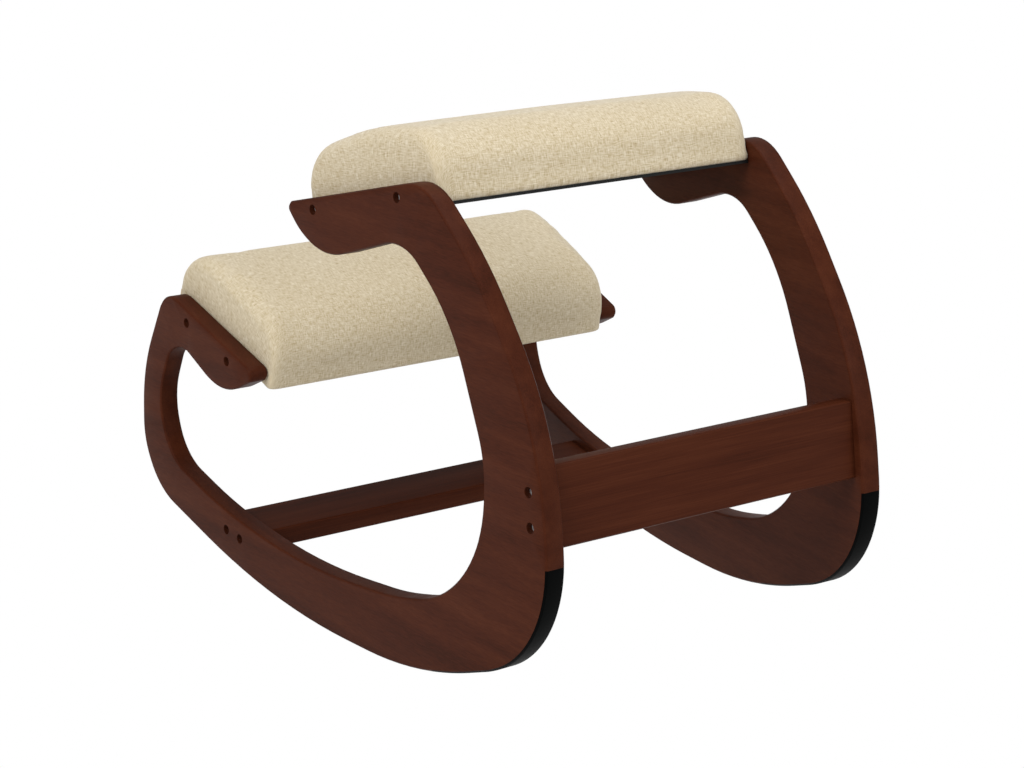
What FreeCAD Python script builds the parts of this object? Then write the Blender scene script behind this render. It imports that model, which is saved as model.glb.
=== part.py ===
import FreeCAD, Part
import math
import os

import Sketcher
from FreeCAD import Vector

# Kneeling chair on two rocking side frames.
# Lengths are in millimetres and angles in degrees. X runs across the chair and is positive on the
# sitter's left, Y runs from the knee pad to the back edge of the seat, Z is up. The origin is on the
# floor, midway between the frames and midway along the rockers.
#
# Both side frames are drawn once, flat, in their own outer face: the sketch's x runs rearward and its
# y runs up. They then stand toed in towards the back and leaning in towards the top, and everything
# between them is lofted from the inner face of one frame to the inner face of the other.

doc = FreeCAD.newDocument("kneeling_chair")
size = doc.addObject("Spreadsheet::Sheet", "Size")

# Driving dimensions
SIZES = [
    ("half_width", 232.0, "outer face of a frame from the middle plane, at the origin"),
    ("toe_angle", 4.5, "each frame turns in towards the back"),
    ("lean_angle", 1.5, "each frame leans in towards the top"),
    ("frame_rearward", 1.6, "outline's origin behind the middle of the chair's length"),
    ("frame_lift", 2.3, "outline's origin above the floor, so that the rocker just touches it"),
    ("frame_thickness", 22.5, "plywood of the side frames"),
    ("edge_bevel", 2.2, "softened edges of the frames and stretchers"),
    ("seat_tilt", 14.4, "seat arms rise towards the back"),
    ("seat_arm_length", 239.5, "nose to crest, corner to corner"),
    ("knee_tilt", 16.7, "knee arms fall towards the back"),
    ("knee_arm_length", 199.0, "front corner to tip, corner to corner"),
    ("strip_thickness", 2.0, "rubber strip let into the back of the rocker"),
    ("strip_top", 170.0, "height at which the rubber strip starts"),
    ("strip_front", 190.0, "how far forward the rubber strip runs under the rocker"),
    ("seat_board_thickness", 18.0, "board that carries the seat cushion"),
    ("seat_board_drop", 2.7, "seat board below the top line of the arm"),
    ("seat_front", 13.5, "front of the seat cushion, from the arm's nose"),
    ("seat_rear", 231.5, "back of the seat cushion, from the arm's nose"),
    ("seat_shoulder", 45.5, "seat cushion height at its front and back edges"),
    ("seat_peak", 60.0, "seat cushion height at its middle, before the crown is rounded"),
    ("seat_roll_front", 45.0, "rounding of the seat cushion's front edge"),
    ("seat_roll_rear", 45.0, "rounding of the seat cushion's back edge"),
    ("seat_bolt_front", 50.0, "front bolt of the seat, from the arm's nose"),
    ("seat_bolt_rear", 196.0, "back bolt of the seat, from the arm's nose"),
    ("seat_panel_thickness", 3.0, "black panel under the seat"),
    ("knee_board_thickness", 18.0, "board that carries the knee cushion"),
    ("knee_board_drop", 5.2, "knee board below the top line of the arm"),
    ("knee_front", -7.0, "front of the knee cushion, from the arm's corner"),
    ("knee_rear", 191.5, "back of the knee cushion, from the arm's corner"),
    ("knee_shoulder", 42.5, "knee cushion height at its front and back edges"),
    ("knee_peak", 57.0, "knee cushion height at its middle, before the crown is rounded"),
    ("knee_roll_front", 42.0, "rounding of the knee cushion's front edge"),
    ("knee_roll_rear", 46.0, "rounding of the knee cushion's back edge"),
    ("knee_bolt_front", 53.0, "front bolt of the knee board, from the arm's corner"),
    ("knee_bolt_rear", 138.0, "back bolt of the knee board, from the arm's corner"),
    ("board_margin", 3.0, "board in from the fabric at its front and back edges"),
    ("crown_round", 400.0, "rounding over the middle of a cushion"),
    ("crown_rise", 2.0, "a cushion's middle above its ends"),
    ("soft_edge", 20.0, "rounding of a cushion where it meets a side frame"),
    ("fabric_thickness", 1.0, "upholstery fabric"),
    ("fabric_lap", 25.0, "fabric turned in under a board"),
    ("dust_sheet_thickness", 0.8, "black cloth under the knee board"),
    ("dust_sheet_inset", 14.0, "edge of the black cloth from the cushion's edge"),
    ("fit_gap", 0.3, "clearance between soft pieces and their neighbours"),
    ("rear_rail_height", 78.0, "back stretcher, up the slope of the frame"),
    ("rear_rail_thickness", 21.0, "back stretcher"),
    ("rear_rail_start", 34.0, "top of the back stretcher, down from the frame's back corner"),
    ("rear_rail_inset", 10.0, "back stretcher in from the straight back side of the frame"),
    ("front_rail_width", 61.0, "front stretcher, lying along the rockers"),
    ("front_rail_thickness", 22.0, "front stretcher"),
    ("front_rail_start", -5.5, "front edge of the front stretcher along the rocker's upper side"),
    ("front_rail_drop", 9.0, "front stretcher below the rocker's upper side"),
    ("rear_bolt_pitch", 33.0, "between the two bolts of the back stretcher"),
    ("front_bolt_pitch", 27.0, "between the two bolts of the front stretcher"),
    ("bolt_diameter", 6.0, "shank of a furniture bolt"),
    ("bolt_length", 50.0, "shank of a furniture bolt, under its head"),
    ("bolt_head_diameter", 10.0, "cylinder head of a furniture bolt"),
    ("bolt_head_height", 6.0, "cylinder head of a furniture bolt"),
    ("socket_width", 5.0, "hexagon socket across its flats"),
    ("socket_depth", 3.0, "hexagon socket in the head"),
    ("head_recess", 12.0, "depth of the round recess that takes a bolt head"),
    ("bolt_clearance", 0.3, "all round a bolt, its head and its barrel nut"),
    ("nut_diameter", 10.0, "barrel nut"),
    ("nut_length", 14.0, "barrel nut"),
    ("nut_setback", 32.0, "barrel nut from the end of its board"),
]

# Corners of the side frame's outline, clockwise from the nose of the seat arm: how far rearward, how
# high, and the radius that rounds the corner. The crest and the knee tip follow from the two arms.
CORNERS = [
    ("nose_top", -66, 432.5, 7),
    ("crest", None, None, 56),
    ("rear_upper", 243, 429, 390),
    ("rear_middle", 346, 295.5, 340),
    ("rear_lower", 371.5, 89, 130),
    ("heel", 278.5, 45, 130),
    ("rocker_rear", 166, 2, 510),
    ("rocker_front", -94, -5, 940),
    ("toe_low", -329, 58, 85),
    ("toe_front", -362, 110.5, 80),
    ("front_upper", -360, 194.5, 185),
    ("knee_corner", -308.5, 294.5, 31),
    ("knee_tip", None, None, 9),
    ("knee_belly", -192, 200.5, 76),
    ("loop_top", -292, 246.5, 35),
    ("loop_front", -326.5, 166, 74),
    ("loop_low", -303, 103, 64),
    ("rail_front", -194, 73, 664),
    ("rail_middle", -34, 55, 819),
    ("rail_rear", 123, 71.5, 350),
    ("upright_low", 261.5, 107, 136),
    ("upright_middle", 267.5, 245, 128),
    ("upright_upper", 212, 370, 204),
    ("notch", 135, 431.5, 59),
    ("arm_belly", -14, 381.5, 86),
]

# Stations of a cushion's rounded end, as shares of its soft edge radius.
END_STATIONS = (0.02, 0.3, 1.0)

# Stations of its crown: shares of the soft edge radius inwards, and shares of the crown's rise.
CROWN_STATIONS = ((6.0, 1.0),)

# Sides that stand for a round head or nut, and for a round shank or thread.
HEAD_SIDES = 16
SHANK_SIDES = 8

LEFT = 1
RIGHT = -1
SIDES = {LEFT: "left", RIGHT: "right"}


def fill_sheet():
    """One row for each driving dimension: a note, and a value under its alias."""
    rows = list(SIZES)
    for name, along, height, radius in CORNERS:
        if along is not None:
            rows.append((name + "_y", along, "outline corner, rearward"))
            rows.append((name + "_z", height, "outline corner, height"))
        rows.append((name + "_round", radius, "outline corner, radius"))
    for row, (alias, value, note) in enumerate(rows, start=1):
        size.set(f"A{row}", note)
        size.set(f"B{row}", str(value))
        size.setAlias(f"B{row}", alias)
    doc.recompute()


def cell(alias):
    return "Size." + alias


def value_of(expression):
    result = size.evalExpression(expression)
    return float(getattr(result, "Value", result))


class Datum:
    """A straight line on the side frame. Its points are given along the line and above it."""

    def __init__(self, y, z, angle):
        self.y = y
        self.z = z
        self.angle = angle

    def at(self, along, above):
        y = f"{self.y} + ({along}) * cos({self.angle}) - ({above}) * sin({self.angle})"
        z = f"{self.z} + ({along}) * sin({self.angle}) + ({above}) * cos({self.angle})"
        return y, z


def side_line(start, end, origin):
    """The datum along a straight side of the outline, from the corner named origin."""
    rise = f"{cell(end + '_z')} - {cell(start + '_z')}"
    run = f"{cell(end + '_y')} - {cell(start + '_y')}"
    return Datum(cell(origin + "_y"), cell(origin + "_z"), f"atan2({rise}; {run})")


seat_line = Datum(cell("nose_top_y"), cell("nose_top_z"), cell("seat_tilt"))
knee_line = Datum(cell("knee_corner_y"), cell("knee_corner_z"), "(-" + cell("knee_tilt") + ")")
rail_line = side_line("rail_front", "rail_middle", "rail_front")
back_line = side_line("rear_lower", "rear_middle", "rear_middle")


def outline_corners():
    """The frame's corners as expressions: name, rearward, height, radius."""
    arm_ends = {
        "crest": seat_line.at(cell("seat_arm_length"), "0"),
        "knee_tip": knee_line.at(cell("knee_arm_length"), "0"),
    }
    corners = []
    for name, along, _, _ in CORNERS:
        y, z = arm_ends[name] if along is None else (cell(name + "_y"), cell(name + "_z"))
        corners.append((name, y, z, cell(name + "_round")))
    return corners


def shifted(*steps):
    """A placement expression: each step is a move and then a turn (yaw, pitch, roll)."""
    parts = []
    for (x, y, z), (yaw, pitch, roll) in steps:
        parts.append(f"placement(vector({x}; {y}; {z}); rotation({yaw}; {pitch}; {roll}))")
    return " * ".join(parts)


def on_frame(side, depth="0", *more):
    """Flat coordinates of a side frame, at a depth in from its outer face."""
    stand = (f"90 + ({side}) * {cell('toe_angle')}", "0", f"90 - ({side}) * {cell('lean_angle')}")
    foot = (f"({side}) * {cell('half_width')}", cell("frame_rearward"), cell("frame_lift"))
    steps = [(foot, stand)]
    steps.append((("0", "0", f"-({side}) * ({depth})"), ("0", "0", "0")))
    return shifted(*steps, *more)


def across(side, depth):
    """Flat coordinates slid level across the chair, so that a point stays on one straight line."""
    travel = f"(({depth}) - {cell('frame_thickness')})"
    rearward = f"{travel} * tan({cell('toe_angle')}) / cos({cell('lean_angle')})"
    upward = f"{travel} * tan({cell('lean_angle')})"
    return on_frame(side, depth, ((rearward, upward, "0"), ("0", "0", "0")))


def add_body(label):
    body = doc.addObject("PartDesign::Body", label)
    body.Label = label
    return body


def origin_plane(body, role):
    return next(item for item in body.Origin.OriginFeatures if item.Role == role)


def flat_sketch(body, name):
    sketch = body.newObject("Sketcher::SketchObject", name)
    sketch.AttachmentSupport = [(origin_plane(body, "XY_Plane"), "")]
    sketch.MapMode = "FlatFace"
    return sketch


def placed_sketch(body, name, placement):
    sketch = body.newObject("Sketcher::SketchObject", name)
    sketch.setExpression("Placement", placement)
    return sketch


def bind_constraint(sketch, index, name, expression):
    sketch.renameConstraint(index, name)
    sketch.setExpression("Constraints." + name, expression)


def bend_at(corner, before, after, radius):
    """Where a rounding meets the two sides of a corner, its centre, and which way it turns."""
    back = (before - corner).normalize()
    ahead = (after - corner).normalize()
    half_angle = back.getAngle(ahead) / 2
    reach = radius / math.tan(half_angle)
    centre = corner + (back + ahead).normalize() * (radius / math.sin(half_angle))
    return corner + back * reach, corner + ahead * reach, centre, back.cross(ahead).z < 0


def arc_about(centre, start, end):
    """The arc that runs anticlockwise about a centre."""
    first = math.atan2(start.y - centre.y, start.x - centre.x)
    last = math.atan2(end.y - centre.y, end.x - centre.x)
    circle = Part.Circle(centre, Vector(0, 0, 1), (start - centre).Length)
    return Part.ArcOfCircle(circle, first, last if last > first else last + 2 * math.pi)


def draw_outline(sketch, corners):
    """Close an outline of straight sides. A corner with a radius gets a tangent arc."""
    count = len(corners)
    points = [Vector(value_of(y), value_of(z), 0) for _, y, z, _ in corners]
    bends = []
    for index, (_, _, _, radius) in enumerate(corners):
        corner = points[index]
        if radius is None:
            bends.append((corner, corner, None, False))
        else:
            bends.append(bend_at(corner, points[index - 1], points[(index + 1) % count], value_of(radius)))
    for index, (name, _, _, _) in enumerate(corners):
        side = bends[index][0] - bends[index - 1][1]
        if side.dot(points[index] - points[index - 1]) <= 0:
            raise RuntimeError(f"{sketch.Name}: the rounding at {name} is too large for its side")

    for index in range(count):
        sketch.addGeometry(Part.LineSegment(bends[index][1], bends[(index + 1) % count][0]), False)
    joins = []
    sizes = []
    for index, (name, y, z, radius) in enumerate(corners):
        before = (index - 1) % count
        corner = points[index]
        if radius is None:
            joins.append(Sketcher.Constraint("Coincident", before, 2, index, 1))
            vertex = index
        else:
            arrive, leave, centre, turns_left = bends[index]
            start, end = (arrive, leave) if turns_left else (leave, arrive)
            arrive_end, leave_end = (1, 2) if turns_left else (2, 1)
            arc = sketch.addGeometry(arc_about(centre, start, end), False)
            vertex = sketch.addGeometry(Part.Point(corner), True)
            joins.append(Sketcher.Constraint("Tangent", before, 2, arc, arrive_end))
            joins.append(Sketcher.Constraint("Tangent", index, 1, arc, leave_end))
            joins.append(Sketcher.Constraint("PointOnObject", vertex, 1, before))
            joins.append(Sketcher.Constraint("PointOnObject", vertex, 1, index))
            rounding = Sketcher.Constraint("Radius", arc, value_of(radius))
            sizes.append((rounding, name + "_round", radius))
        sizes.append((Sketcher.Constraint("DistanceX", -1, 1, vertex, 1, corner.x), name + "_y", y))
        sizes.append((Sketcher.Constraint("DistanceY", -1, 1, vertex, 1, corner.y), name + "_z", z))
    sketch.addConstraint(joins)
    first_size = sketch.ConstraintCount
    sketch.addConstraint([constraint for constraint, _, _ in sizes])
    for offset, (_, name, expression) in enumerate(sizes):
        bind_constraint(sketch, first_size + offset, name, expression)


def circles(sketch, centres, diameter):
    """Circles of one diameter round the given centres."""
    for index, (y, z) in enumerate(centres):
        centre = Vector(value_of(y), value_of(z), 0)
        circle = sketch.addGeometry(Part.Circle(centre, Vector(0, 0, 1), value_of(diameter) / 2))
        across = sketch.addConstraint(Sketcher.Constraint("DistanceX", -1, 1, circle, 3, centre.x))
        up = sketch.addConstraint(Sketcher.Constraint("DistanceY", -1, 1, circle, 3, centre.y))
        wide = sketch.addConstraint(Sketcher.Constraint("Diameter", circle, value_of(diameter)))
        bind_constraint(sketch, across, f"across_{index}", y)
        bind_constraint(sketch, up, f"up_{index}", z)
        bind_constraint(sketch, wide, f"wide_{index}", diameter)


def loft(body, kind, name, sections):
    feature = body.newObject("PartDesign::" + kind, name)
    feature.Profile = sections[0]
    feature.Sections = sections[1:]
    feature.Ruled = True
    return feature


def drill(body, name, placement, diameter, depth):
    """Remove a round bar from a body."""
    feature = body.newObject("PartDesign::SubtractiveCylinder", name)
    feature.setExpression("Radius", f"({diameter}) / 2")
    feature.setExpression("Height", depth)
    feature.setExpression("Placement", placement)
    return feature


def bar(label, placement, diameter, length, sides):
    """A many-sided bar with its corners on a circle of the given diameter."""
    prism = doc.addObject("Part::Prism", label)
    prism.Polygon = sides
    prism.setExpression("Circumradius", f"({diameter}) / 2")
    prism.setExpression("Height", length)
    prism.setExpression("Placement", placement)
    return prism


def boolean(kind, label, base, tool):
    result = doc.addObject("Part::" + kind, label)
    result.Base = base
    result.Tool = tool
    result.Label = label
    return result


# Where the bolts pass: two in each arm and two in each stretcher
seat_bolt_above = f"-({cell('seat_board_drop')} + {cell('seat_board_thickness')} / 2)"
knee_bolt_above = f"-({cell('knee_board_drop')} + {cell('knee_board_thickness')} / 2)"
front_bolt_above = f"-({cell('front_rail_drop')} + {cell('front_rail_thickness')} / 2)"
rear_bolt_above = f"{cell('rear_rail_inset')} + {cell('rear_rail_thickness')} / 2"
front_middle = f"{cell('front_rail_start')} + {cell('front_rail_width')} / 2"
rear_middle = f"-({cell('rear_rail_start')} + {cell('rear_rail_height')} / 2)"

BOLTS = {
    "seat": (seat_line, seat_bolt_above, (cell("seat_bolt_front"), cell("seat_bolt_rear"))),
    "knee": (knee_line, knee_bolt_above, (cell("knee_bolt_front"), cell("knee_bolt_rear"))),
    "front_stretcher": (rail_line, front_bolt_above, (
        f"{front_middle} - {cell('front_bolt_pitch')} / 2",
        f"{front_middle} + {cell('front_bolt_pitch')} / 2")),
    "rear_stretcher": (back_line, rear_bolt_above, (
        f"{rear_middle} - {cell('rear_bolt_pitch')} / 2",
        f"{rear_middle} + {cell('rear_bolt_pitch')} / 2")),
}


def bolt_centres(place):
    line, above, stations = BOLTS[place]
    return [line.at(along, above) for along in stations]


# Side frames, each with its bolt holes and a rubber strip let into the back of its rocker
def frame_blank(side):
    body = add_body(SIDES[side] + "_frame_blank")
    sketch = flat_sketch(body, SIDES[side] + "_frame_outline")
    draw_outline(sketch, outline_corners())
    plate = body.newObject("PartDesign::Pad", SIDES[side] + "_frame_plate")
    plate.Profile = sketch
    plate.setExpression("Length", cell("frame_thickness"))
    plate.Reversed = side == LEFT
    doc.recompute()

    flat_faces = []
    for index, face in enumerate(plate.Shape.Faces, start=1):
        if abs(face.normalAt(0, 0).z) > 0.99:
            flat_faces.append(f"Face{index}")
    bevel = body.newObject("PartDesign::Chamfer", SIDES[side] + "_frame_bevel")
    bevel.Base = (plate, flat_faces)
    bevel.setExpression("Size", cell("edge_bevel"))
    doc.recompute()

    centres = [centre for place in BOLTS for centre in bolt_centres(place)]
    hole = f"{cell('bolt_diameter')} + 2 * {cell('bolt_clearance')}"
    recess = f"{cell('bolt_head_diameter')} + 2 * {cell('bolt_clearance')}"
    for name, diameter, depth in (("hole", hole, cell("frame_thickness")), ("recess", recess, cell("head_recess"))):
        circle_sketch = flat_sketch(body, f"{SIDES[side]}_bolt_{name}_sketch")
        circles(circle_sketch, centres, diameter)
        pocket = body.newObject("PartDesign::Pocket", f"{SIDES[side]}_bolt_{name}")
        pocket.Profile = circle_sketch
        pocket.setExpression("Length", depth)
        pocket.Reversed = side == RIGHT
        doc.recompute()
    body.setExpression("Placement", on_frame(side))
    return body


def document_sketch(name, corners):
    sketch = doc.addObject("Sketcher::SketchObject", name)
    draw_outline(sketch, corners)
    return sketch


def slab(label, base, side):
    """Extrude a flat profile to both sides of the frame's outer face, past its thickness."""
    extrusion = doc.addObject("Part::Extrusion", label)
    extrusion.Base = base
    extrusion.DirMode = "Custom"
    extrusion.Dir = Vector(0, 0, 1)
    extrusion.setExpression("LengthFwd", "2 * " + cell("frame_thickness"))
    extrusion.setExpression("LengthRev", "2 * " + cell("frame_thickness"))
    extrusion.Solid = True
    extrusion.setExpression("Placement", on_frame(side))
    return extrusion


def build_frames():
    rim = document_sketch("rim_outline", outline_corners())
    doc.recompute()
    core_outline = doc.addObject("Part::Offset2D", "core_outline")
    core_outline.Source = rim
    core_outline.setExpression("Value", "-" + cell("strip_thickness"))
    core_outline.Join = "Intersection"

    # The strip's zone reaches past the rocker's back corner and stays clear of its inner edge
    beyond = f"{cell('rear_lower_y')} + 60"
    below = "-60"
    inner = f"{cell('rear_lower_y')} - 70"
    zone_corners = [
        ("zone_top_back", beyond, cell("strip_top"), None),
        ("zone_top_front", inner, cell("strip_top"), None),
        ("zone_low_top", cell("strip_front"), "40", None),
        ("zone_low_front", cell("strip_front"), below, None),
        ("zone_low_back", beyond, below, None),
    ]
    zone = document_sketch("strip_zone", zone_corners)
    doc.recompute()

    pieces = []
    for side, word in SIDES.items():
        blank = frame_blank(side)
        core = slab(word + "_core", core_outline, side)
        zone_slab = slab(word + "_zone", zone, side)
        band = boolean("Common", word + "_band", blank, zone_slab)
        strip = boolean("Cut", word + "_rocker_strip", band, core)
        frame = boolean("Cut", word + "_side_frame", blank, strip)
        pieces += [frame, strip]
    return pieces


# Boards and stretchers between the frames
def box_corners(line, front, rear, bottom, top):
    """Four sharp corners of a bar's section, given along a datum and above it."""
    ends = {
        "low_front": (front, bottom),
        "low_rear": (rear, bottom),
        "top_rear": (rear, top),
        "top_front": (front, top),
    }
    return [(name, *line.at(along, above), None) for name, (along, above) in ends.items()]


def bevelled_corners(line, front, rear, bottom, top):
    """Eight corners of a bar's section whose four edges are bevelled."""
    bevel = cell("edge_bevel")
    ends = {
        "low_front": (f"{front} + {bevel}", bottom),
        "low_rear": (f"{rear} - {bevel}", bottom),
        "rear_low": (rear, f"{bottom} + {bevel}"),
        "rear_top": (rear, f"{top} - {bevel}"),
        "top_rear": (f"{rear} - {bevel}", top),
        "top_front": (f"{front} + {bevel}", top),
        "front_top": (front, f"{top} - {bevel}"),
        "front_low": (front, f"{bottom} + {bevel}"),
    }
    return [(name, *line.at(along, above), None) for name, (along, above) in ends.items()]


def end_sections(body, name, corners, depth):
    sections = []
    for side, word in SIDES.items():
        sketch = placed_sketch(body, f"{name}_{word}", across(side, depth))
        draw_outline(sketch, corners)
        sections.append(sketch)
    return sections


def drill_for_bolts(body, place, end_depth):
    """Bolt holes in both ends of a board, and the cross holes of its barrel nuts."""
    line, above, stations = BOLTS[place]
    hole = f"{cell('bolt_diameter')} + 2 * {cell('bolt_clearance')}"
    nut_hole = f"{cell('nut_diameter')} + 2 * {cell('bolt_clearance')}"
    bore = f"{cell('head_recess')} + {cell('bolt_length')} + 2 - {cell('frame_thickness')}"
    nut_depth = f"{end_depth} + {cell('nut_setback')}"
    open_side = "-1" if place != "rear_stretcher" else "1"
    for side, word in SIDES.items():
        for index, (y, z) in enumerate(bolt_centres(place)):
            turned = ("0", "0", "0") if side == RIGHT else ("0", "180", "0")
            along_bolt = on_frame(side, cell("frame_thickness"), ((y, z, "0"), turned))
            drill(body, f"{place}_{word}_bore_{index}", along_bolt, hole, bore)
            roll = "90" if open_side == "-1" else "-90"
            start = f"-({open_side}) * ({cell('nut_length')} / 2 + {cell('bolt_clearance')})"
            across = on_frame(
                side, nut_depth,
                ((y, z, "0"), (line.angle, "0", "0")),
                (("0", start, "0"), ("0", "0", roll)))
            drill(body, f"{place}_{word}_cross_{index}", across, nut_hole, "4 * " + cell("nut_length"))


def crosspiece(label, place, corners, end_gap):
    """A bar lofted from one frame to the other, drilled for its bolts and barrel nuts."""
    body = add_body(label)
    end_depth = f"{cell('frame_thickness')} + {end_gap}"
    loft(body, "AdditiveLoft", label + "_bar", end_sections(body, label, corners, end_depth))
    doc.recompute()
    drill_for_bolts(body, place, end_depth)
    return body


# Cushions: a board, foam, fabric that wraps both, and a cover on the underside
class Cushion:
    def __init__(self, word, line):
        self.word = word
        self.line = line
        self.front = cell(word + "_front")
        self.rear = cell(word + "_rear")
        self.board_top = "-" + cell(word + "_board_drop")
        self.board_base = f"{self.board_top} - {cell(word + '_board_thickness')}"
        self.wrap = f"({cell('fabric_thickness')} + {cell('fit_gap')})"
        self.base = f"{self.board_base} - {self.wrap}"

    def section(self, drop, inset, base):
        """The cushion's outline across its width: flat below, rolled edges, crowned on top."""
        side_inset = f"({inset} + {drop} / 2)"
        foot_inset = f"({inset} + {drop} / 16)"
        middle = f"({self.front} + {self.rear}) / 2"
        shape = [
            ("foot_front", f"{self.front} + {foot_inset}", base, None),
            ("foot_rear", f"{self.rear} - {foot_inset}", base, None),
            ("shoulder_rear", f"{self.rear} - {side_inset}",
             f"{cell(self.word + '_shoulder')} - {drop} - {inset}", f"{cell(self.word + '_roll_rear')} - {inset} - {drop}"),
            ("crown", middle,
             f"{cell(self.word + '_peak')} - {drop} - {inset}", f"{cell('crown_round')} - {inset}"),
            ("shoulder_front", f"{self.front} + {side_inset}",
             f"{cell(self.word + '_shoulder')} - {drop} - {inset}", f"{cell(self.word + '_roll_front')} - {inset} - {drop}"),
        ]
        corners = []
        for name, along, above, radius in shape:
            y, z = self.line.at(along, above)
            corners.append((name, y, z, radius))
        return corners

    def sections(self, body, name, inset, base):
        """Stations from the left frame, over the crown, to the right frame."""
        stations = []
        for share in END_STATIONS:
            fall = 1 - math.sqrt(1 - (1 - share) ** 2)
            stations.append((share, f"({cell('soft_edge')} * {fall:.4f})"))
        for share, rise in CROWN_STATIONS:
            stations.append((share, f"(-{cell('crown_rise')} * {rise})"))
        places = [(LEFT, station) for station in stations]
        places += [(RIGHT, station) for station in reversed(stations)]
        sketches = []
        for side, (share, drop) in places:
            reach = f"{cell('soft_edge')} * {share - END_STATIONS[0]:.4f}"
            depth = f"{cell('frame_thickness')} + {cell('fit_gap')} + {inset} + {reach}"
            sketch = placed_sketch(body, f"{name}_{len(sketches)}", across(side, depth))
            draw_outline(sketch, self.section(drop, inset, base))
            sketches.append(sketch)
        return sketches

    def box(self, margin, bottom, top):
        """A section that stands in from the cushion's front and rear by a margin."""
        return box_corners(self.line, f"{self.front} + {margin}", f"{self.rear} - {margin}", bottom, top)

    def board(self):
        edge = f"({self.wrap} + {cell('board_margin')})"
        corners = self.box(edge, self.board_base, self.board_top)
        return crosspiece(self.word + "_board", self.word, corners, f"{self.wrap} + {cell('fit_gap')}")

    def foam(self):
        body = add_body(self.word + "_foam")
        whole = self.sections(body, self.word + "_foam", self.wrap, self.board_base)
        loft(body, "AdditiveLoft", self.word + "_foam_block", whole)
        doc.recompute()
        top = f"{self.board_top} + {cell('fit_gap')}"
        room = self.box(f"-{cell('fabric_lap')}", f"{self.base} - {cell('fabric_lap')}", top)
        loft(body, "SubtractiveLoft", self.word + "_foam_seat", end_sections(body, self.word + "_room", room, "0"))
        doc.recompute()
        return body

    def cover(self):
        body = add_body(self.word + "_cover")
        outside = self.sections(body, self.word + "_cover_outside", "0", self.base)
        loft(body, "AdditiveLoft", self.word + "_cover_skin", outside)
        doc.recompute()
        hollow = f"{self.board_base} - {cell('fit_gap')}"
        inside = self.sections(body, self.word + "_cover_inside", cell("fabric_thickness"), hollow)
        loft(body, "SubtractiveLoft", self.word + "_cover_hollow", inside)
        doc.recompute()
        lap = cell("fabric_lap")
        window = self.box(lap, f"{self.base} - {lap} / 4", f"{self.board_base} + {cell('board_margin')} / 2")
        openings = end_sections(body, self.word + "_window", window, f"{cell('frame_thickness')} + {lap}")
        loft(body, "SubtractiveLoft", self.word + "_cover_window", openings)
        doc.recompute()
        slit = f"{cell('bolt_diameter')} + 4 * {cell('bolt_clearance')}"
        for side, word in SIDES.items():
            for index, (y, z) in enumerate(bolt_centres(self.word)):
                turned = ("0", "0", "0") if side == RIGHT else ("0", "180", "0")
                through = on_frame(side, cell("frame_thickness"), ((y, z, "0"), turned))
                drill(body, f"{self.word}_slit_{word}_{index}", through, slit, "4 * " + cell("fabric_thickness"))
        return body

    def underside(self, label, thickness, inset):
        """A thin sheet that closes the board from below, over the turned-in fabric."""
        body = add_body(label)
        top = f"{self.base} - {cell('fit_gap')}"
        corners = self.box(inset, f"{top} - {thickness}", top)
        sections = end_sections(body, label, corners, f"{cell('frame_thickness')} + {inset}")
        loft(body, "AdditiveLoft", label + "_sheet", sections)
        return body


def build_cushions():
    seat = Cushion("seat", seat_line)
    knee = Cushion("knee", knee_line)
    pieces = []
    for cushion in (seat, knee):
        pieces += [cushion.board(), cushion.foam(), cushion.cover()]
        doc.recompute()
    pieces.append(seat.underside("seat_base_panel", cell("seat_panel_thickness"), "1.5"))
    pieces.append(knee.underside("knee_dust_sheet", cell("dust_sheet_thickness"), cell("dust_sheet_inset")))
    return pieces


def build_stretchers():
    rear_top = f"-{cell('rear_rail_start')}"
    rear_bottom = f"-({cell('rear_rail_start')} + {cell('rear_rail_height')})"
    rear = crosspiece("rear_stretcher", "rear_stretcher", bevelled_corners(
        back_line, rear_bottom, rear_top, cell("rear_rail_inset"),
        f"{cell('rear_rail_inset')} + {cell('rear_rail_thickness')}"), "0")
    front_end = f"{cell('front_rail_start')} + {cell('front_rail_width')}"
    front = crosspiece("front_stretcher", "front_stretcher", bevelled_corners(
        rail_line, cell("front_rail_start"), front_end,
        f"-({cell('front_rail_drop')} + {cell('front_rail_thickness')})", "-" + cell("front_rail_drop")), "0")
    return [rear, front]


# Fasteners: a socket head bolt in each hole, drawn into a barrel nut
def furniture_bolt(name, side, y, z):
    inward = ("0", "0", "0") if side == RIGHT else ("0", "180", "0")
    head_top = on_frame(side, f"{cell('head_recess')} - {cell('bolt_head_height')}", ((y, z, "0"), inward))
    head_base = on_frame(side, cell("head_recess"), ((y, z, "0"), inward))
    head = bar(name + "_head", head_top, cell("bolt_head_diameter"), cell("bolt_head_height"), HEAD_SIDES)
    shank = bar(name + "_shank", head_base, cell("bolt_diameter"), cell("bolt_length"), SHANK_SIDES)
    socket = bar(name + "_socket", head_top, f"{cell('socket_width')} / cos(30)", cell("socket_depth"), 6)
    return boolean("Cut", name, boolean("Fuse", name + "_solid", head, shank), socket)


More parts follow.
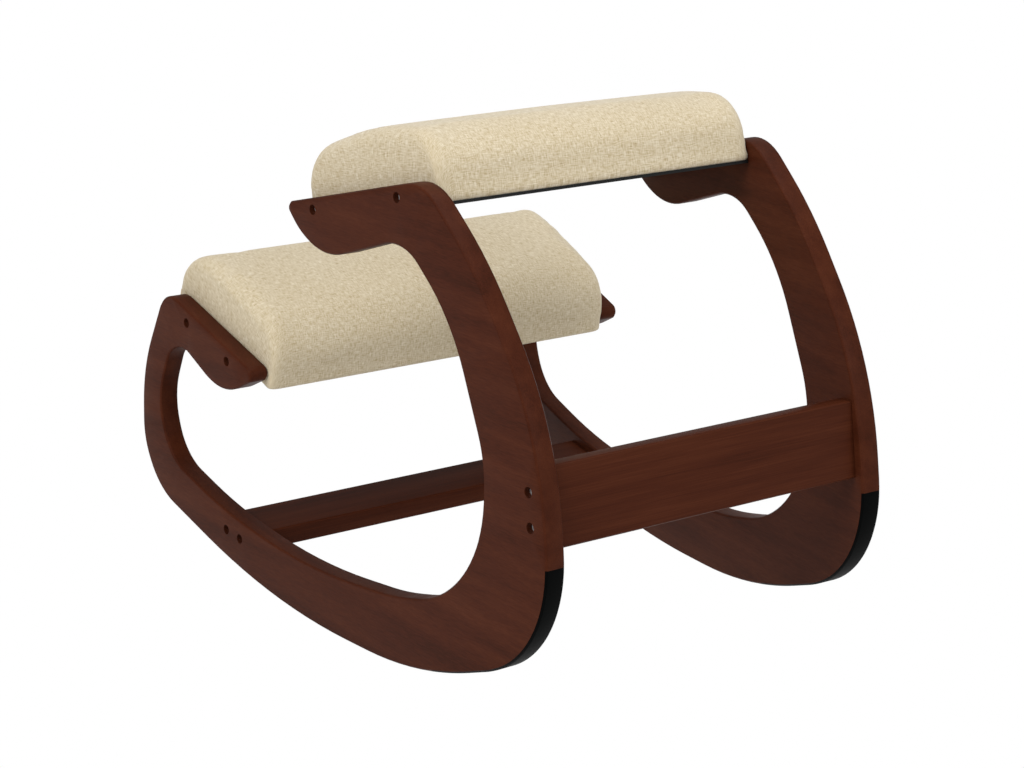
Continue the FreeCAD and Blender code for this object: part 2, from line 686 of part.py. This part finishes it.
def barrel_nut(name, side, place, y, z):
    end_depth = cell("frame_thickness")
    if place in ("seat", "knee"):
        end_depth = f"{end_depth} + {cell('fabric_thickness')} + 2 * {cell('fit_gap')}"
    depth = f"{end_depth} + {cell('nut_setback')}"
    inward = ("0", "0", "0") if side == RIGHT else ("0", "180", "0")
    across = on_frame(
        side, depth,
        ((y, z, "0"), (BOLTS[place][0].angle, "0", "0")),
        (("0", f"-{cell('nut_length')} / 2", "0"), ("0", "0", "-90")))
    body = bar(name + "_body", across, cell("nut_diameter"), cell("nut_length"), HEAD_SIDES)
    along_bolt = on_frame(side, f"{depth} - {cell('nut_diameter')}", ((y, z, "0"), inward))
    thread = bar(name + "_thread", along_bolt, f"{cell('bolt_diameter')} + {cell('bolt_clearance')}",
                 f"2 * {cell('nut_diameter')}", SHANK_SIDES)
    return boolean("Cut", name, body, thread)


def group(label, members):
    compound = doc.addObject("Part::Compound", label)
    compound.Links = members
    compound.Label = label
    return compound


def build_fasteners():
    groups = []
    for place in BOLTS:
        for side, word in SIDES.items():
            bolts = []
            nuts = []
            for index, (y, z) in enumerate(bolt_centres(place)):
                bolts.append(furniture_bolt(f"{word}_{place}_bolt_{index}", side, y, z))
                nuts.append(barrel_nut(f"{word}_{place}_nut_{index}", side, place, y, z))
            groups.append(group(f"{word}_{place}_bolts", bolts))
            groups.append(group(f"{word}_{place}_barrel_nuts", nuts))
    return groups


def check(pieces):
    """Stop before anything is written if a feature failed or a piece is not sound."""
    for item in doc.Objects:
        if "Invalid" in item.State or "Error" in item.State:
            raise RuntimeError(f"{item.Name} failed: {item.State}")
    for piece in pieces:
        shape = piece.Shape
        if shape.isNull() or not shape.isValid() or not shape.Solids:
            raise RuntimeError(f"{piece.Label} has no valid solid")


def export(pieces):
    os.makedirs("parts", exist_ok=True)
    for piece in pieces:
        piece.Shape.exportStep(os.path.join("parts", piece.Label + ".step"))
        print(f"{piece.Label}: {len(piece.Shape.Solids)} solid(s), {piece.Shape.Volume / 1000:.1f} cm3")


fill_sheet()
all_pieces = build_frames() + build_stretchers() + build_cushions() + build_fasteners()
doc.recompute()
check(all_pieces)
export(all_pieces)
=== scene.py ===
# %% [markdown]
# Kneeling chair on rockers
#
# This lesson dresses a finished construction model. The wooden frames, stretchers, boards, bolts and
# rubber strips come from that model and keep their shape. What it can't give is made here: stuffed
# cushions, woven cloth, stained wood and black under-cloth. All lengths are in metres unless a
# name says millimetres. X runs across the chair, Y from the knee pad towards the back, Z is up.

# %% Load the imported model
import math

import bpy
import numpy as np
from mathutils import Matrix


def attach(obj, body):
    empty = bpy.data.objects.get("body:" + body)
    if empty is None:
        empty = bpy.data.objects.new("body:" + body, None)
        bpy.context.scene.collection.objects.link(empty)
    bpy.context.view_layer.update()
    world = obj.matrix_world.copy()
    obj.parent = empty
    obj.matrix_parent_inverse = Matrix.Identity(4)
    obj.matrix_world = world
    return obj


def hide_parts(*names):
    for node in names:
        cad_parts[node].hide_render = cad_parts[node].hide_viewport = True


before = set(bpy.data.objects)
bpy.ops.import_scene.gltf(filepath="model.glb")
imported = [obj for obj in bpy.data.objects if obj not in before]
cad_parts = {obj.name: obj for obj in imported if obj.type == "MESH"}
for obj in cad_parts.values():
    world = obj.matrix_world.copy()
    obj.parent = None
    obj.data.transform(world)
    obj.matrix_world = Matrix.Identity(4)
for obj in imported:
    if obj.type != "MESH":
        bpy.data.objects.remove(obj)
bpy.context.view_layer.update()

MM = 0.001

# %% [markdown]
# Colours are given as hex values, the way a paint chart gives them. Shaders work in linear
# light, so each value goes through the standard curve once, in one function.

# %% Colours and nodes
def linear(hex_colour):
    """Linear RGBA of a hex colour: below 0.04045 divide by 12.92, else ((c + 0.055) / 1.055) ** 2.4."""
    values = np.array([int(hex_colour[i:i + 2], 16) for i in (1, 3, 5)]) / 255
    curve = np.where(values <= 0.04045, values / 12.92, ((values + 0.055) / 1.055) ** 2.4)
    return (*curve.tolist(), 1.0)


def node(material, kind, settings=None, **links):
    """Add a node, set its properties and inputs, and link each named input to another node's socket."""
    made = material.node_tree.nodes.new(kind)
    for name, value in (settings or {}).items():
        if name in made.inputs.keys():
            made.inputs[name].default_value = value
        else:
            setattr(made, name, value)
    for name, socket in links.items():
        key = int(name[1:]) if name[0] == "_" else name.replace("_", " ")
        material.node_tree.links.new(socket, made.inputs[key])
    return made


def new_material(name, settings):
    """A node material and its main shader, whose inputs take the given settings."""
    material = bpy.data.materials.new(name)
    material.use_nodes = True
    shader = material.node_tree.nodes["Principled BSDF"]
    for socket, value in settings.items():
        shader.inputs[socket].default_value = value
    return material, shader


def join(material, socket, shader, name):
    """Link a socket to a named input."""
    material.node_tree.links.new(socket, shader.inputs[name])


def ramp(material, factor, stops):
    """A colour ramp with stops of (place, hex colour)."""
    made = node(material, "ShaderNodeValToRGB", Fac=factor)
    elements = made.color_ramp.elements
    while len(elements) < len(stops):
        elements.new(0.5)
    for element, (place, colour) in zip(elements, stops):
        element.position = place
        element.color = linear(colour)
    return made.outputs["Color"]

# %% [markdown]
# The camera stands where the photographer stood: high, behind the chair and to its left. A long lens
# keeps the far frame nearly as large as the near one.

# %% Camera
CAMERA_PLACE = (1.3095, 1.9751, 0.9393)
CAMERA_DOWN = math.radians(16.81)
CAMERA_TURN = math.radians(56.37)
LENS_MM = 82.6
SENSOR_MM = 36.0

camera_data = bpy.data.cameras.new("camera")
camera_data.lens = LENS_MM
camera_data.sensor_width = SENSOR_MM
camera = bpy.data.objects.new("camera", camera_data)
camera.location = CAMERA_PLACE
camera.rotation_euler = (math.pi / 2 - CAMERA_DOWN, 0, math.pi / 2 + CAMERA_TURN)
bpy.context.scene.collection.objects.link(camera)
bpy.context.scene.camera = camera
print("camera at", CAMERA_PLACE, "lens", LENS_MM)

# %% [markdown]
# A photo studio's white sweep: the floor takes a soft shadow and everything else is white. The floor
# shows white to the camera and to mirrors, and the world full white to the camera and through glass,
# so that the lamps give most of the light on the wood.

# %% Floor, world and lamps
FLOOR_SIZE = 12.0
WORLD_LIGHT = 0.42
CHAIR_MIDDLE = (0, 0, 0.25)
SOFTBOXES = (
    ("key softbox", (2.9, 0.7, 2.3), 1.6, 58),
    ("top softbox", (-0.6, 0.2, 3.2), 2.2, 36),
    ("rear softbox", (-1.0, 3.0, 1.8), 1.6, 27),
)


def white_floor():
    """A plane, plain white in direct view, a pale diffuse surface for all else, and clear from below."""
    half = FLOOR_SIZE / 2
    mesh = bpy.data.meshes.new("floor")
    corners = [(-half, -half, 0), (half, -half, 0), (half, half, 0), (-half, half, 0)]
    mesh.from_pydata(corners, [], [(0, 1, 2, 3)])
    floor = bpy.data.objects.new("floor", mesh)
    bpy.context.scene.collection.objects.link(floor)
    settings = {"Base Color": linear("#F4F4F4"), "Roughness": 0.9, "Specular IOR Level": 0.1}
    material, shader = new_material("white paper sweep", settings)
    paper = node(material, "ShaderNodeEmission", {"Color": (1, 1, 1, 1), "Strength": 1.0})
    path = node(material, "ShaderNodeLightPath")
    seen = node(material, "ShaderNodeMath", {"operation": "MAXIMUM"},
                _0=path.outputs["Is Camera Ray"], _1=path.outputs["Is Glossy Ray"])
    both = node(material, "ShaderNodeMath", {"operation": "MAXIMUM"},
                _0=seen.outputs[0], _1=path.outputs["Is Transmission Ray"])
    mixed = node(material, "ShaderNodeMixShader", Fac=both.outputs[0],
                 _1=shader.outputs[0], _2=paper.outputs[0])
    clear = node(material, "ShaderNodeBsdfTransparent")
    below = node(material, "ShaderNodeNewGeometry").outputs["Backfacing"]
    one_way = node(material, "ShaderNodeMixShader", Fac=below, _1=mixed.outputs[0], _2=clear.outputs[0])
    join(material, one_way.outputs[0], material.node_tree.nodes["Material Output"], "Surface")
    mesh.materials.append(material)


def white_world():
    """World light of one strength, shown as plain white to the camera and through glass."""
    world = bpy.data.worlds.new("studio")
    world.use_nodes = True
    bpy.context.scene.world = world
    tree = world.node_tree
    background = tree.nodes["Background"]
    background.inputs["Color"].default_value = (1, 1, 1, 1)
    path = node(world, "ShaderNodeLightPath")
    seen = node(world, "ShaderNodeMath", {"operation": "MAXIMUM"},
                _0=path.outputs["Is Camera Ray"], _1=path.outputs["Is Transmission Ray"])
    strength = node(world, "ShaderNodeMapRange", {"To Min": WORLD_LIGHT, "To Max": 1.0}, Value=seen.outputs[0])
    tree.links.new(strength.outputs[0], background.inputs["Strength"])


def softbox(name, place, size, watts):
    """A square area lamp aimed at the middle of the chair."""
    lamp = bpy.data.lights.new(name, "AREA")
    lamp.shape = "SQUARE"
    lamp.size = size
    lamp.energy = watts
    made = bpy.data.objects.new(name, lamp)
    bpy.context.scene.collection.objects.link(made)
    made.location = place
    aim = np.array(CHAIR_MIDDLE) - np.array(place)
    across = math.hypot(aim[0], aim[1])
    made.rotation_euler = (math.atan2(across, -aim[2]), 0, math.atan2(aim[1], aim[0]) - math.pi / 2)


white_floor()
white_world()
for name, place, size, watts in SOFTBOXES:
    softbox(name, place, size, watts)
print("lamps", [name for name, *_ in SOFTBOXES])
bpy.context.scene.view_settings.view_transform = "Standard"

# %% [markdown]
# Every sloping piece is measured on the side frame, in its own flat outline: y rearward and z upward.
# The frames stand toed in and leaning in, so these few values turn a flat point into a place in the room.

# %% Frame datum
HALF_WIDTH = 232 * MM
FRAME_THICKNESS = 22.5 * MM
REARWARD, LIFT = 1.6 * MM, 2.3 * MM
TOE, LEAN = math.radians(4.5), math.radians(1.5)


def inner_face(y, z):
    """Room place of a flat point on the left frame's inner face: origin + y along + z up - thickness in."""
    x = HALF_WIDTH - y * math.sin(TOE) - z * math.sin(LEAN) * math.cos(TOE)
    x = x - FRAME_THICKNESS * math.cos(LEAN) * math.cos(TOE)
    rear = REARWARD + y * math.cos(TOE) - z * math.sin(LEAN) * math.sin(TOE)
    rear = rear - FRAME_THICKNESS * math.cos(LEAN) * math.sin(TOE)
    up = LIFT + z * math.cos(LEAN) - FRAME_THICKNESS * math.sin(LEAN)
    return x, rear, up


# %% [markdown]
# Meshes come from grids: two parameters, one numpy array of points. A grid closed round one way and
# capped at both ends is a solid, and its faces are four-sided except for the fans at the caps.

# %% Grid meshes
def add_mesh(name, points, faces):
    """Put points (n, 3) and faces (lists of indices) into a new object at the origin."""
    mesh = bpy.data.meshes.new(name)
    mesh.from_pydata(points.tolist(), [], faces.tolist() if isinstance(faces, np.ndarray) else faces)
    mesh.update()
    made = bpy.data.objects.new(name, mesh)
    bpy.context.scene.collection.objects.link(made)
    return made


def tube_faces(rings, around):
    """Quads of a grid of rings, each closed round: (i, j), (i, j + 1), (i + 1, j + 1), (i + 1, j)."""
    i, j = np.meshgrid(np.arange(rings - 1), np.arange(around), indexing="ij")
    after = (j + 1) % around
    quads = np.stack([i * around + j, i * around + after, (i + 1) * around + after, (i + 1) * around + j], -1)
    return quads.reshape(-1, 4)


# %% [markdown]
# A cushion's section is a polygon whose corners are rounded by arcs: two tight ones at the foot, two
# large rolls at the shoulders and a very flat one over the crown. Sampling each arc at the same number
# of angles gives rings that match from one end of the cushion to the other.

# %% Rounded sections
def rounded_ring(corners, radii, per_corner):
    """Points round a polygon of shape (stations, corners, 2) with arcs of the given radii.

    For each corner with unit vectors b back and a ahead and half angle h between them, the arc's centre
    is corner + (a + b) / |a + b| * r / sin h, and it turns through pi - 2 h about that centre.
    """
    back = np.roll(corners, 1, axis=1) - corners
    ahead = np.roll(corners, -1, axis=1) - corners
    back /= np.linalg.norm(back, axis=-1, keepdims=True)
    ahead /= np.linalg.norm(ahead, axis=-1, keepdims=True)
    half = np.arccos(np.clip((back * ahead).sum(-1), -1, 1)) / 2
    bisector = back + ahead
    bisector /= np.linalg.norm(bisector, axis=-1, keepdims=True)
    centre = corners + bisector * (radii / np.sin(half))[..., None]
    middle = np.arctan2(-bisector[..., 1], -bisector[..., 0])
    turn = np.sign(back[..., 0] * ahead[..., 1] - back[..., 1] * ahead[..., 0])
    sweep = np.linspace(-0.5, 0.5, per_corner)
    angle = middle[..., None] - turn[..., None] * (np.pi - 2 * half)[..., None] * sweep
    arc = centre[..., None, :] + radii[..., None, None] * np.stack([np.cos(angle), np.sin(angle)], -1)
    return arc.reshape(len(corners), -1, 2)


class Cushion:
    """Sizes of one cushion, measured along and above the top line of its arm, in millimetres."""

    def __init__(self, name, origin, tilt, front, rear, base, shoulder, peak, roll_front, roll_rear):
        self.name = name
        self.origin = origin
        self.tilt = math.radians(tilt)
        self.front, self.rear, self.base = front, rear, base
        self.shoulder, self.peak = shoulder, peak
        self.roll_front, self.roll_rear = roll_front, roll_rear

    def flat(self, along, above):
        """Flat frame coordinates, in metres, of a point given along and above the arm's line."""
        y = self.origin[0] + along * math.cos(self.tilt) - above * math.sin(self.tilt)
        z = self.origin[1] + along * math.sin(self.tilt) + above * math.cos(self.tilt)
        return y * MM, z * MM

    def place(self, share, along, above, gap=0.0):
        """Room points: share -1 to 1 runs from the right inner face to the left, less a gap."""
        x, rear, up = inner_face(*self.flat(along, above))
        return np.stack([share * (x - gap), rear + 0 * share, up + 0 * share], -1)


SEAT = Cushion("seat", origin=(-64, 432), tilt=14.4, front=9.0, rear=231.5, base=-22.0,
               shoulder=45.5, peak=60.0, roll_front=45, roll_rear=45)
KNEE = Cushion("knee", origin=(-308, 293), tilt=-16.7, front=-7.0, rear=191.5, base=-24.5,
               shoulder=42.5, peak=57.0, roll_front=42, roll_rear=46)

# %% [markdown]
# The foam is cut a little small and the cloth is pulled over it. So the mesh starts smaller than the
# finished cushion, and a short cloth simulation under pressure fills it out, which gives the soft swell
# between the corners that no formula has.

# %% Cushion surface
SOFT_EDGE = 13 * MM
STEEPEST_SHARE = 0.98
DROP_PER_SIDE_INSET = 2
DROP_PER_FOOT_INSET = 5
FOOT_ROUND_MM = 3
CROWN_ROUND_MM = 400
CROWN_RISE_MM = 2.0
FIT_GAP = 0.3 * MM
STATIONS = 61
PER_CORNER = 12
CAP_RINGS = 6


def cushion_points(cushion, shrink):
    """Rings across the chair. Near each end, e in from it, the ring drops by R - sqrt(R^2 - (R - e)^2)."""
    turn = np.linspace(-1, 1, STATIONS)
    share = np.sin(turn * np.pi / 2)
    half = cushion.place(np.ones(1), (cushion.front + cushion.rear) / 2, 0)[0, 0] - FIT_GAP
    inward = (1 - np.abs(share)) * half
    left_over = np.clip(SOFT_EDGE - inward, 0, SOFT_EDGE * STEEPEST_SHARE)
    drop = (SOFT_EDGE - np.sqrt(SOFT_EDGE ** 2 - left_over ** 2)) / MM
    crown = CROWN_RISE_MM * np.clip(inward / half, 0, 1) ** 0.5 * (drop == 0)
    side = shrink + drop / DROP_PER_SIDE_INSET
    foot = drop / DROP_PER_FOOT_INSET
    lift = crown - drop - shrink
    middle = (cushion.front + cushion.rear) / 2
    along = np.stack([cushion.front + foot, cushion.rear - foot, cushion.rear - side,
                      middle + 0 * side, cushion.front + side], -1)
    above = np.stack([cushion.base + 0 * lift, cushion.base + 0 * lift, cushion.shoulder + lift,
                      cushion.peak + lift, cushion.shoulder + lift], -1)
    radii = np.stack([FOOT_ROUND_MM + 0 * side, FOOT_ROUND_MM + 0 * side, cushion.roll_rear - drop - shrink,
                      CROWN_ROUND_MM + 0 * side, cushion.roll_front - drop - shrink], -1)
    ring = rounded_ring(np.stack([along, above], -1), radii, PER_CORNER)
    centre = np.array([middle, (cushion.base + cushion.shoulder) / 2])
    scale = np.linspace(0, 1, CAP_RINGS + 1)[1:-1]
    first = centre + (ring[0] - centre) * scale[:, None, None]
    last = centre + (ring[-1] - centre) * scale[::-1, None, None]
    rings = np.concatenate([first, ring, last])
    shares = np.concatenate([np.full(len(scale), share[0]), share, np.full(len(scale), share[-1])])
    points = cushion.place(shares[:, None] + 0 * rings[..., 0], rings[..., 0], rings[..., 1], FIT_GAP)
    ends = cushion.place(np.array([-1.0, 1.0]), centre[0], centre[1], FIT_GAP)
    return points, ends


def cushion_mesh(cushion, shrink):
    """A closed mesh of the cushion: quads between the rings and a fan of triangles at either end."""
    points, ends = cushion_points(cushion, shrink)
    rings, around = points.shape[:2]
    faces = tube_faces(rings, around).tolist()
    last = (rings - 1) * around
    for j in range(around):
        after = (j + 1) % around
        faces.append([rings * around, after, j])
        faces.append([rings * around + 1, last + j, last + after])
    made = add_mesh(cushion.name + "_cushion", np.concatenate([points.reshape(-1, 3), ends]), faces)
    volume = sum_volume(made.data)
    if volume < 0:
        made.data.flip_normals()
    print(cushion.name, "cushion", rings, "rings of", around, "points, litres", round(abs(volume) * 1000, 2))
    return made


def sum_volume(mesh):
    """Signed volume: a sixth of the sum over triangles of a . (b x c)."""
    mesh.calc_loop_triangles()
    corners = np.empty(len(mesh.loop_triangles) * 3, np.int32)
    mesh.loop_triangles.foreach_get("vertices", corners)
    places = coordinates(mesh)[corners].reshape(-1, 3, 3)
    return float(np.einsum("ij,ij->i", places[:, 0], np.cross(places[:, 1], places[:, 2])).sum() / 6)


def coordinates(mesh):
    """All vertex places as an array of rows (x, y, z)."""
    values = np.empty(len(mesh.vertices) * 3)
    mesh.vertices.foreach_get("co", values)
    return values.reshape(-1, 3)


# %% [markdown]
# Cloth under pressure: each cushion is remeshed into even cells, blown up for twenty frames, and then
# held to what its frame allows. A point moves no further than a cap, stays flat on the board below and
# stops at the wood beside it.

# %% Stuffing the cushions
VOXEL = 4 * MM
PRESSURE = 4.0
LAST_FRAME = 20
SWELL_CAP = 2.5 * MM
INWARD_SHARE = 0.3
START_SHRINK_MM = 0.5
BASE_ZONE_MM = 14.0
BASE_LIFT_MM = 0.6
MIDDLE_BAND_MM = 25.0
END_BIAS = 0.2
NO_MOVE = 1e-9
YARN_MAP = "yarn"


def flat_coordinates(cushion, points):
    """Along and above of room points, in millimetres, by turning the room back onto the frame's outline."""
    z = (points[:, 2] - LIFT + FRAME_THICKNESS * math.sin(LEAN)) / math.cos(LEAN)
    lean_shift = z * math.sin(LEAN) * math.sin(TOE) + FRAME_THICKNESS * math.cos(LEAN) * math.sin(TOE)
    y = (points[:, 1] - REARWARD + lean_shift) / math.cos(TOE)
    y, z = y / MM - cushion.origin[0], z / MM - cushion.origin[1]
    along = y * math.cos(cushion.tilt) + z * math.sin(cushion.tilt)
    above = -y * math.sin(cushion.tilt) + z * math.cos(cushion.tilt)
    return along, above


def side_limit(cushion, along, above):
    """How far from the middle the wood's inner face lies at flat points, less the running gap."""
    x, _, _ = inner_face(*cushion.flat(along, above))
    return x - FIT_GAP


def blow_up(made):
    """Points of the piece after a cloth simulation with inner pressure and no gravity."""
    cloth_step = made.modifiers.new("stuffing", "CLOTH")
    settings = cloth_step.settings
    settings.use_pressure = True
    settings.uniform_pressure_force = PRESSURE
    settings.effector_weights.gravity = 0
    cloth_step.point_cache.frame_end = LAST_FRAME
    scene = bpy.context.scene
    for step in range(1, LAST_FRAME + 1):
        scene.frame_set(step)
    settled = made.evaluated_get(bpy.context.evaluated_depsgraph_get())
    blown = coordinates(settled.data)
    made.modifiers.remove(cloth_step)
    scene.frame_set(1)
    return blown


def vertex_normals(mesh):
    """All vertex normals as an array of rows (x, y, z)."""
    values = np.empty(len(mesh.vertices) * 3)
    mesh.vertex_normals.foreach_get("vector", values)
    return values.reshape(-1, 3)


def yarn_map(made, cushion):
    """Unfold the cushion in metres: u across the chair, v along the section, both running down the sides.

    With d the depth below the crown and e the share of an end face in the normal,
    u = x + sign(x) d e and v = along - middle + s d (1 - e), where s passes smoothly from -1 to 1.
    """
    points = coordinates(made.data)
    normals = np.abs(vertex_normals(made.data))
    along, above = flat_coordinates(cushion, points)
    along = along - (cushion.front + cushion.rear) / 2
    depth = (above.max() - above) * MM
    end = normals[:, 0] / (normals[:, 0] + normals[:, 1] + END_BIAS)
    u = points[:, 0] + np.sign(points[:, 0]) * depth * end
    v = along * MM + np.clip(along / MIDDLE_BAND_MM, -1, 1) * depth * (1 - end)
    corners = np.empty(len(made.data.loops), np.int32)
    made.data.loops.foreach_get("vertex_index", corners)
    layer = made.data.uv_layers.new(name=YARN_MAP)
    layer.data.foreach_set("uv", np.stack([u[corners], v[corners]], -1).ravel())


def stuffed(cushion):
    """The finished cushion: a shrunken form, remeshed, blown up, capped and made finer by one level."""
    made = cushion_mesh(cushion, START_SHRINK_MM)
    bpy.context.view_layer.objects.active = made
    remesh = made.modifiers.new("even cells", "REMESH")
    remesh.mode = "VOXEL"
    remesh.voxel_size = VOXEL
    remesh.use_smooth_shade = True
    bpy.ops.object.modifier_apply(modifier=remesh.name)
    start = coordinates(made.data)
    blown = blow_up(made)
    move = blown - start
    length = np.linalg.norm(move, axis=1)
    along, above = flat_coordinates(cushion, start)
    free = np.clip((above - cushion.base) / BASE_ZONE_MM, 0, 1)
    free = free * free * (3 - 2 * free)
    scale = np.minimum(1, SWELL_CAP / np.maximum(length, NO_MOVE)) * free
    outward = (move * vertex_normals(made.data)).sum(1) > 0
    scale = np.where(outward, scale, scale * INWARD_SHARE)
    points = start + move * scale[:, None]
    along, above = flat_coordinates(cushion, points)
    limit = side_limit(cushion, along, above)
    points[:, 0] = np.clip(points[:, 0], -limit, limit)
    too_low = np.clip(cushion.base + BASE_LIFT_MM - above, 0, None) * MM
    points[:, 1] -= too_low * math.sin(cushion.tilt)
    points[:, 2] += too_low * math.cos(cushion.tilt)
    made.data.vertices.foreach_set("co", points.ravel())
    made.data.update()
    finer = made.modifiers.new("finer", "SUBSURF")
    finer.levels = finer.render_levels = 1
    bpy.ops.object.modifier_apply(modifier=finer.name)
    made.data.polygons.foreach_set("use_smooth", [True] * len(made.data.polygons))
    yarn_map(made, cushion)
    low, high = coordinates(made.data).min(0), coordinates(made.data).max(0)
    print(cushion.name, "cushion", len(made.data.polygons), "faces, moved up to",
          round(float((length * scale).max() / MM), 1), "mm, from", low.round(3), "to", high.round(3))
    return made


seat_cushion = stuffed(SEAT)
knee_cushion = stuffed(KNEE)

# %% [markdown]
# The cloth is a plain weave of slubby linen-look yarn. Two noises stretched along the two yarn directions
# give light and dark threads, and a broad noise makes the dye slightly uneven. Scales are per metre.

# %% Woven cloth
YARN_PITCH = 950.0
YARN_RUN = 120.0
DYE_PATCH = 14.0
DYE_SHARE = 0.06
YARN_COLOURS = ((0.33, "#A8926D"), (0.45, "#C7B694"), (0.54, "#D5C7AB"), (0.66, "#E6DCC8"))


def stretched_noise(material, coordinates_socket, scale, detail=2.0, roughness=0.6):
    """Noise whose cells are scaled differently along X, Y and Z."""
    mapping = node(material, "ShaderNodeMapping", {"Scale": scale}, Vector=coordinates_socket)
    return node(material, "ShaderNodeTexNoise", {"Scale": 1.0, "Detail": detail, "Roughness": roughness},
                Vector=mapping.outputs["Vector"]).outputs["Fac"]


def math_node(material, operation, first, second):
    """One arithmetic step on a socket and a socket or number."""
    made = node(material, "ShaderNodeMath", {"operation": operation}, _0=first)
    if isinstance(second, float):
        made.inputs[1].default_value = second
    else:
        material.node_tree.links.new(second, made.inputs[1])
    return made.outputs[0]


def bumped(material, shader, height, strength, depth):
    """Let a height from 0 to 1 tilt the shader's normal."""
    bump = node(material, "ShaderNodeBump", {"Strength": strength, "Distance": depth}, Height=height)
    join(material, bump.outputs["Normal"], shader, "Normal")


def woven_cloth():
    """Cream cloth of light and dark yarns, dull, with a little fuzz."""
    settings = {"Roughness": 0.92, "Specular IOR Level": 0.15, "Sheen Weight": 0.3}
    material, shader = new_material("linen-look woven polyester", settings)
    place = node(material, "ShaderNodeUVMap", {"uv_map": YARN_MAP}).outputs["UV"]
    crosswise = stretched_noise(material, place, (YARN_RUN, YARN_PITCH, 1.0))
    lengthwise = stretched_noise(material, place, (YARN_PITCH, YARN_RUN, 1.0))
    patches = stretched_noise(material, place, (DYE_PATCH, DYE_PATCH, DYE_PATCH))
    yarn = math_node(material, "MULTIPLY", math_node(material, "ADD", crosswise, lengthwise), 0.5)
    mixed = math_node(material, "ADD", math_node(material, "MULTIPLY", yarn, 1 - DYE_SHARE),
                      math_node(material, "MULTIPLY", patches, DYE_SHARE))
    colour = ramp(material, mixed, YARN_COLOURS)
    join(material, colour, shader, "Base Color")
    bumped(material, shader, yarn, 0.35, 0.6 * MM)
    return material


# %% [markdown]
# The plywood is stained dark red-brown and sealed with a satin lacquer. Its fibres run along the longest
# way of each board: rearward in the side frames and across the chair in the stretchers.

# %% Wood, rubber, steel and the black parts
FIBRE_PITCH = 1100.0
FIBRE_RUN = 14.0
FIGURE_PITCH = 45.0
FIGURE_RUN = 3.0
PORE_SHARE = 0.45
STAIN_COLOURS = ((0.34, "#38190C"), (0.46, "#431E10"), (0.56, "#4A2313"), (0.68, "#522918"))
PORE_DEPTH = 0.4 * MM
GLOSS_CELL = 420.0
GLOSS_DIP = 0.05
GLOSS_RISE = 0.08


def stained_wood(name, run_axis):
    """Stained veneer with fibres along one axis: fine pores over a slow figure."""
    material, shader = new_material(name, {"Roughness": 0.45, "Specular IOR Level": 0.05})
    place = node(material, "ShaderNodeTexCoord").outputs["Object"]
    fine = [FIBRE_PITCH] * 3
    slow = [FIGURE_PITCH] * 3
    fine[run_axis], slow[run_axis] = FIBRE_RUN, FIGURE_RUN
    pores = stretched_noise(material, place, fine, 3.0)
    figure = stretched_noise(material, place, slow, 3.0)
    mixed = math_node(material, "ADD", math_node(material, "MULTIPLY", pores, PORE_SHARE),
                      math_node(material, "MULTIPLY", figure, 1 - PORE_SHARE))
    colour = ramp(material, mixed, STAIN_COLOURS)
    join(material, colour, shader, "Base Color")
    bumped(material, shader, pores, 0.12, PORE_DEPTH)
    return material


def plain(name, colour, roughness, metallic=0.0, specular=0.4, grain=0.0):
    """An even surface with a fine uneven gloss, so that no large face looks like paint on a screen."""
    settings = {"Base Color": linear(colour), "Metallic": metallic, "Specular IOR Level": specular}
    material, shader = new_material(name, settings)
    place = node(material, "ShaderNodeTexCoord").outputs["Object"]
    noise = stretched_noise(material, place, [GLOSS_CELL] * 3)
    gloss_range = {"To Min": roughness - GLOSS_DIP, "To Max": roughness + GLOSS_RISE}
    gloss = node(material, "ShaderNodeMapRange", gloss_range, Value=noise)
    join(material, gloss.outputs[0], shader, "Roughness")
    if grain:
        bumped(material, shader, noise, grain, PORE_DEPTH)
    return material


CLOTH = woven_cloth()
FRAME_WOOD = stained_wood("stained birch plywood, fibres rearward", 1)
RAIL_WOOD = stained_wood("stained birch plywood, fibres across", 0)
RUBBER = plain("black rubber strip", "#030404", 0.5, specular=0.03, grain=0.1)
STEEL = plain("zinc-plated steel", "#DADBDC", 0.4, metallic=0.7)
BOARD = plain("raw birch plywood", "#C9A97C", 0.7, specular=0.2, grain=0.1)
PANEL = plain("black painted fibreboard", "#121212", 0.6, specular=0.25)
UNDER_CLOTH = plain("black non-woven under-cloth", "#17181A", 0.9, specular=0.1, grain=0.4)

# %% [markdown]
# The construction model's edges carry a small flat bevel. Averaging its normals with the wide faces on
# both sides, each weighted by its area, makes the bevel read as a rounded, sanded edge.

# %% Dress the construction model
WELD_DISTANCE = 0.01 * MM
CRISP_ANGLE = math.radians(50)


def sanded(made):
    """Join the loose triangles, smooth them all and weight the normals by face area."""
    weld = made.modifiers.new("weld", "WELD")
    weld.merge_threshold = WELD_DISTANCE
    made.data.polygons.foreach_set("use_smooth", [True] * len(made.data.polygons))
    split = made.modifiers.new("keep holes crisp", "EDGE_SPLIT")
    split.split_angle = CRISP_ANGLE
    weighted = made.modifiers.new("area normals", "WEIGHTED_NORMAL")
    weighted.weight = 100
    weighted.keep_sharp = False


def finish_of(name):
    """Material of a construction piece, found from the words in its name."""
    if "bolts" in name or "nuts" in name:
        return STEEL
    for word, material in (("side_frame", FRAME_WOOD), ("strip", RUBBER), ("stretcher", RAIL_WOOD),
                           ("board", BOARD), ("panel", PANEL), ("sheet", UNDER_CLOTH)):
        if word in name:
            return material
    return None


for name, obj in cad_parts.items():
    material = finish_of(name)
    if material is None:
        continue
    obj.data.materials.clear()
    obj.data.materials.append(material)
    if material in (FRAME_WOOD, RAIL_WOOD, RUBBER):
        sanded(obj)
print("dressed", len(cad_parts), "construction pieces")

for piece, nodes in ((seat_cushion, ("seat_cover", "seat_foam")), (knee_cushion, ("knee_cover", "knee_foam"))):
    piece.data.materials.append(CLOTH)
    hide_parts(*nodes)
    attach(piece, "root")
